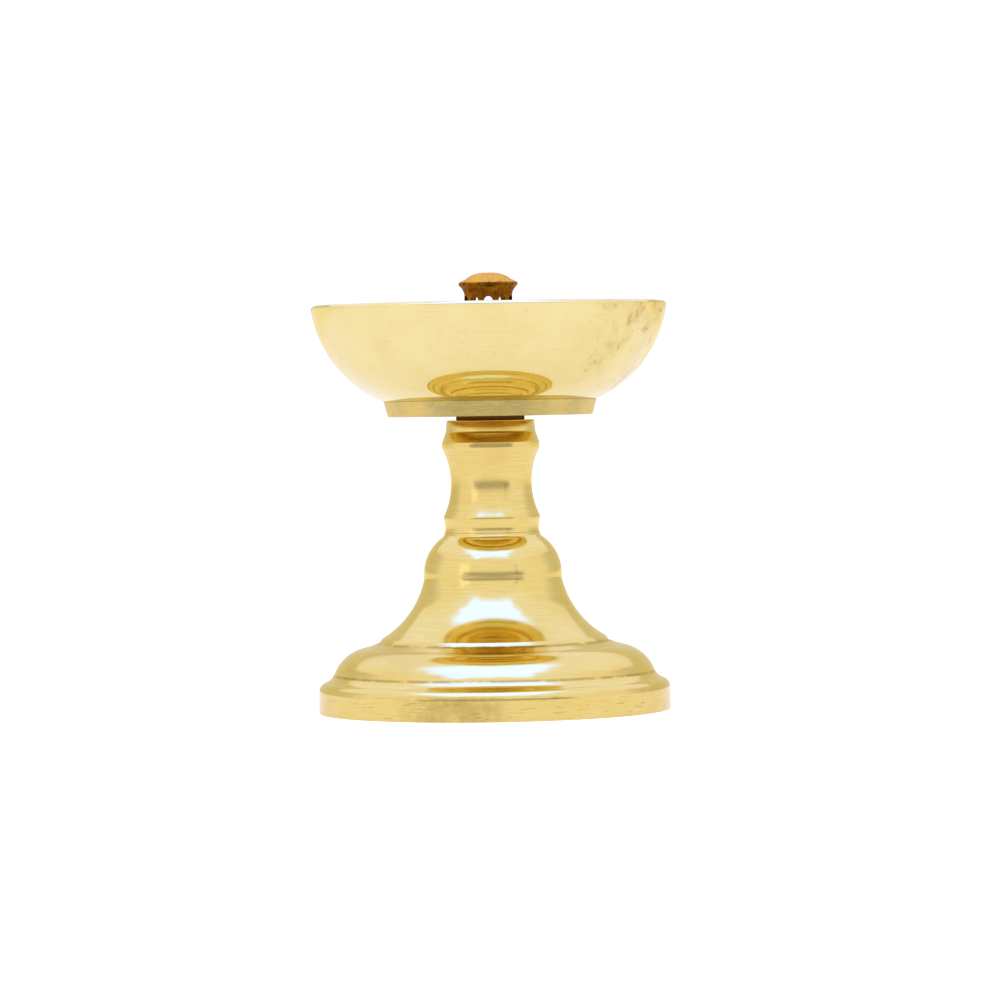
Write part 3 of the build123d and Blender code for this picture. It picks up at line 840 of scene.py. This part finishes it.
# =============================================================== wick tube
TUBE_RADIUS, TUBE_BORE_RADIUS = 5.1, 3.4
TUBE_HEIGHT, UNDER_BRIM_HEIGHT = 19.7, 2.6
BRIM_RADIUS, BRIM_EDGE_HEIGHT, BRIM_RISE = 6.3, 0.65, 0.65
DOME_RADIUS = 4.9
TUBE_CROWN = 2.4
WICK_HOLE_RADIUS = 1.5
WINDOW_COUNT, WINDOW_WIDTH = 10, 1.9
WINDOW_ABOVE_SPIGOT, WINDOW_BELOW_BRIM = 1.2, 2.2
WINDOW_SEGMENTS = 24
UNDER_BRIM_BULGE, DOME_BULGE = 0.13, 0.07


def window_cutter(low, high):
    """All the windows as one cutting mesh: round-ended bars that point out from the axis."""
    cutter = bmesh.new()
    half = WINDOW_WIDTH / 2 * MM
    for index in range(WINDOW_COUNT):
        bar = bmesh.new()
        for end, side in ((low * MM + half, -1), (high * MM - half, 1)):
            disc = bmesh.ops.create_circle(
                bar, cap_ends=False, radius=half, segments=WINDOW_SEGMENTS,
                matrix=Matrix.Translation((0, 0, end)) @ Matrix.Rotation(pi / 2, 4, "X"),
            )
            inner = [v for v in disc["verts"] if (v.co.z - end) * side < -half / 100]
            bmesh.ops.delete(bar, geom=inner, context="VERTS")
        bmesh.ops.contextual_create(bar, geom=bar.verts)
        walls = bmesh.ops.extrude_face_region(bar, geom=bar.faces[:])
        outer = [v for v in walls["geom"] if isinstance(v, bmesh.types.BMVert)]
        bmesh.ops.translate(bar, verts=outer, vec=(0, -(BRIM_RADIUS + 1) * MM, 0))
        bmesh.ops.recalc_face_normals(bar, faces=bar.faces)
        turn = 2 * pi / WINDOW_COUNT * index
        bmesh.ops.rotate(bar, cent=(0, 0, 0), matrix=Matrix.Rotation(turn, 3, "Z"), verts=bar.verts)
        piece = bpy.data.meshes.new("bar")
        bar.to_mesh(piece)
        bar.free()
        cutter.from_mesh(piece)
        bpy.data.meshes.remove(piece)
    return cutter


def wick_tube(material):
    bottom, top = span("wick_tube")
    spigot_top = span("clamp_screw")[1]
    flare_z = bottom + TUBE_HEIGHT
    brim_z = flare_z + UNDER_BRIM_HEIGHT
    edge_z = brim_z + BRIM_EDGE_HEIGHT
    dome_z = edge_z + BRIM_RISE
    bore_z = top - TUBE_CROWN
    outline = Outline((TUBE_BORE_RADIUS + TUBE_RADIUS) / 2, bottom)
    outline.line(TUBE_RADIUS, bottom, ease=0.25)
    outline.line(TUBE_RADIUS, flare_z)
    outline.arc(BRIM_RADIUS, brim_z, -UNDER_BRIM_BULGE, ease=0.12)
    outline.line(BRIM_RADIUS, edge_z, ease=0.15)
    outline.line(DOME_RADIUS, dome_z, ease=0.2)
    outline.arc(WICK_HOLE_RADIUS, top, DOME_BULGE, ease=0.2)
    outline.line(WICK_HOLE_RADIUS, bore_z, ease=0.15)
    outline.line(TUBE_BORE_RADIUS, bore_z, ease=0.2)
    outline.line(TUBE_BORE_RADIUS, bottom, ease=0.2)
    outline.line((TUBE_BORE_RADIUS + TUBE_RADIUS) / 2, bottom)
    piece = finished(
        "wick_tube_cut", turned(outline, 200), "wick_unit", "holder_brass", material, "wick_tube"
    )
    bars = window_cutter(spigot_top + WINDOW_ABOVE_SPIGOT, brim_z - WINDOW_BELOW_BRIM)
    return cut_with(piece, bars, "DIFFERENCE")


# =============================================================== the lamp
pedestal_finish = turned_brass(
    "turned brass", slope=-1.0, streak_tone=0.50, line_depth=0.0036, polish=0.085, blur=0.07
)
stem_finish = turned_brass(
    "satin turned brass", slope=-0.15, streak_tone=0.52, line_depth=0.0046, polish=0.12, blur=0.09
)
bowl_finish = bowl_brass()
ring_finish = ring_brass()
holder_finish = holder_brass()
steel_finish = plated_steel()

bell_foot(pedestal_finish)
stem(stem_finish)
bowl(bowl_finish)
bowl_ring(ring_finish)
clamp_screw(holder_finish)
wick_tube(holder_finish)
washer(
    "stem_washer_plated", "stem_washer", STEM_SPIGOT_RADIUS + HOLE_CLEARANCE, PLATED_EASE,
    "pedestal", "plated_steel", steel_finish,
)
washer(
    "seal_washer_rubber", "seal_washer", SCREW_HOLE_RADIUS, GASKET_AND_SEAL_EASE,
    "seal", "brown_rubber", brown_rubber(),
)
washer(
    "screw_gasket_leather", "screw_gasket", SCREW_HOLE_RADIUS, GASKET_AND_SEAL_EASE,
    "bowl_unit", "oiled_leather", oiled_leather(),
)
stem_nut(steel_finish)

# =============================================================== table, lights and camera
TABLE_SIZE = 14.0
TABLE_WHITE, TABLE_GRAIN = rgba(0.24, 0.22, 0.17), rgba(0.25, 0.23, 0.18)
TABLE_SEEN = rgba(0.97, 0.97, 0.97)  # by the camera itself
BLACK = rgba(0, 0, 0)
TABLE_GLOW = 0.77
TABLE_FRONT_GLOW = 0.26  # beyond the table's front edge
TABLE_FRONT_EDGE = (0.62, 0.67)  # the table fades away between these distances
TABLE_FRONT_SPREAD = (1.13, 1.43)  # half width of the dim front, as a share of its distance
REFLECTED_TINT = rgba(1.0, 1.0, 1.22)  # the studio is a little cool in the brass
BACK_TINT = rgba(1.0, 0.96, 0.84)  # and warm behind the lamp


def stage_piece(name, size, material, height=0.0, face_down=False):
    """A flat square of the studio, which isn't part of the lamp."""
    plane = bmesh.new()
    bmesh.ops.create_grid(plane, x_segments=1, y_segments=1, size=size / 2)
    bmesh.ops.translate(plane, verts=plane.verts, vec=(0, 0, height))
    if face_down:
        bmesh.ops.reverse_faces(plane, faces=plane.faces)
    data = bpy.data.meshes.new(name)
    plane.to_mesh(data)
    plane.free()
    data.materials.append(material)
    piece = bpy.data.objects.new(name, data)
    bpy.context.scene.collection.objects.link(piece)
    return piece


def table():
    """A softly lit white table that is cut out to pure white for the camera."""
    finish = Finish("lit white table", Roughness=0.6, Specular_IOR_Level=0.0, Emission_Strength=1.0)
    grain = finish.noise(60.0, 3.0, 0.5)
    tone = finish.mix(grain, TABLE_WHITE, TABLE_GRAIN)
    ahead = finish.y * -1.0
    spread = (finish.x.math("ABSOLUTE") / ahead.math("MAXIMUM", 0.01)).step_up(*TABLE_FRONT_SPREAD)
    front = ahead.step_up(*TABLE_FRONT_EDGE) * (1 - spread)
    glow = TABLE_GLOW - front * (TABLE_GLOW - TABLE_FRONT_GLOW)
    seen = finish.node("ShaderNodeLightPath", output="Is Camera Ray")
    behind = finish.y.step_up(0.15, 0.6)
    cool = finish.mix(glow, BLACK, finish.mix(behind, REFLECTED_TINT, BACK_TINT))
    colour = finish.mix(seen, cool, TABLE_SEEN)
    stage_piece("table", TABLE_SIZE, finish.wire(Base_Color=tone, Emission_Color=colour))


PANEL_HEIGHT = 0.75
PANEL_SIZE = 2.4
PANEL_LEFT, PANEL_RIGHT = -0.50, 0.38
PANEL_FRONT, PANEL_BACK = -0.69, 0.02
PANEL_EDGE = 0.10  # how far the diffuser's bright part fades out on each side
PANEL_UNEVEN = 0.22
ROOF_FADE = (0.6, 1.15)
PANEL_RADIANCE = rgba(1.06, 1.38, 3.60)
ROOF_RADIANCE = rgba(1.03, 1.07, 1.50)
WALL_RADIANCE = rgba(1.02, 1.02, 1.24)


def light_panel():
    """An overhead diffuser: bright above the lamp, with soft and slightly uneven edges."""
    finish = Finish("overhead diffuser", Roughness=1.0, Specular_IOR_Level=0.0, Emission_Strength=1.0)
    uneven = (finish.noise(180.0, 3.0, 0.6) - 0.5) * PANEL_UNEVEN
    x, y = finish.x + uneven, finish.y + uneven
    bright = (
        x.step_up(PANEL_LEFT - PANEL_EDGE, PANEL_LEFT + PANEL_EDGE)
        * (1 - x.step_up(PANEL_RIGHT - PANEL_EDGE, PANEL_RIGHT + PANEL_EDGE))
        * y.step_up(PANEL_FRONT - PANEL_EDGE, PANEL_FRONT + PANEL_EDGE)
        * (1 - y.step_up(PANEL_BACK - PANEL_EDGE, PANEL_BACK + PANEL_EDGE))
    )
    outward = finish.x.math("ABSOLUTE").math("MAXIMUM", finish.y.math("ABSOLUTE"))
    roof = finish.mix(outward.step_up(*ROOF_FADE), ROOF_RADIANCE, WALL_RADIANCE)
    colour = finish.mix(bright, roof, PANEL_RADIANCE)
    finish.shader.inputs["Base Color"].default_value = BLACK
    panel = stage_piece(
        "overhead diffuser", PANEL_SIZE, finish.wire(Emission_Color=colour), PANEL_HEIGHT, True
    )
    panel.visible_camera = False


FILL_PLACE = (0, -0.38, 0.70)
FILL_SIZE = 0.8
FILL_WATTS = 1.0


def fill_light():
    """A weak soft lamp for the rubber and leather; the brass doesn't mirror it."""
    data = bpy.data.lights.new("soft fill", "AREA")
    data.energy = FILL_WATTS
    data.size = FILL_SIZE
    lamp = bpy.data.objects.new("soft fill", data)
    lamp.location = FILL_PLACE
    lamp.visible_glossy = False
    lamp.visible_camera = False
    bpy.context.scene.collection.objects.link(lamp)


# The tent's parts by their angle from the front, in radians, and by how far up a direction points.
WALL, OPENING, STRIP, BACK = 1.02, 1.02, 0.66, 0.85
OPENING_HALF_ANGLE = 0.70
STRIP_SIDES, STRIP_TOP = (0.80, 1.00), (0.05, 0.20)
GLOW_ANGLE, GLOW_FADE, GLOW = 0.86, (0.08, 0.22), 0.16
EDGE_WIDTH, EDGE_TOP, EDGE_SHADE = 0.05, (0.45, 0.55), 0.2
BACK_FADE, BACK_TINT_FADE = (0.0, 0.5), (0.35, 0.8)
TENT_SEEN = 1.05  # by the camera itself


def surroundings():
    """A white tent, open and dimmer to the front, with a dark strip at the level of the table."""
    world = bpy.data.worlds.new("white tent")
    bpy.context.scene.world = world
    world.use_nodes = True
    tree = world.node_tree
    background = tree.nodes["Background"]
    coordinates = tree.nodes.new("ShaderNodeTexCoord")
    split = tree.nodes.new("ShaderNodeSeparateXYZ")
    tree.links.new(coordinates.outputs["Generated"], split.inputs["Vector"])
    side = Value(tree, split.outputs["X"])
    back = Value(tree, split.outputs["Y"])
    up = Value(tree, split.outputs["Z"])
    angle = side.math("ARCTAN2", back * -1.0)
    spread = angle.math("ABSOLUTE")
    glow = (1 - (angle + GLOW_ANGLE).math("ABSOLUTE").step_up(*GLOW_FADE)) * GLOW
    edge = 1 - (angle - OPENING_HALF_ANGLE).math("ABSOLUTE").step_up(0.0, EDGE_WIDTH)
    edge = edge * (1 - up.step_up(*EDGE_TOP))
    strip = (1 - spread.step_up(*STRIP_SIDES)) * (1 - up.step_up(*STRIP_TOP))
    level = WALL + glow - edge * EDGE_SHADE - strip * (OPENING - STRIP)
    level = level - back.step_up(*BACK_FADE) * (WALL - BACK)
    path = tree.nodes.new("ShaderNodeLightPath")
    seen = Value(tree, path.outputs["Is Camera Ray"])
    strength = level * (1 - seen) + seen * TENT_SEEN
    tree.links.new(strength.socket, background.inputs["Strength"])
    tint = tree.nodes.new("ShaderNodeMix")
    tint.data_type = "RGBA"
    tree.links.new((back.step_up(*BACK_TINT_FADE) * (1 - seen)).socket, tint.inputs[0])
    tint.inputs[6].default_value = REFLECTED_TINT
    tint.inputs[7].default_value = BACK_TINT
    tree.links.new(tint.outputs[2], background.inputs["Color"])


CAMERA_DISTANCE = 1.017
CAMERA_HEIGHT = 0.068
CAMERA_LENS = 171.0
CAMERA_DOWN = 1.29
CAMERA_ROLL = 0.95
CAMERA_YAW = -0.122


def camera():
    data = bpy.data.cameras.new("camera")
    data.lens = CAMERA_LENS
    data.sensor_width = 36.0
    data.clip_start, data.clip_end = 0.01, 50.0
    eye = bpy.data.objects.new("camera", data)
    eye.location = (0, -CAMERA_DISTANCE, CAMERA_HEIGHT)
    eye.rotation_euler = (radians(90 - CAMERA_DOWN), radians(CAMERA_ROLL), radians(CAMERA_YAW))
    bpy.context.scene.collection.objects.link(eye)
    bpy.context.scene.camera = eye


table()
light_panel()
fill_light()
surroundings()
camera()
view_settings = bpy.context.scene.view_settings
view_settings.view_transform = "Standard"
view_settings.exposure = 0.0
view_settings.gamma = 0.62
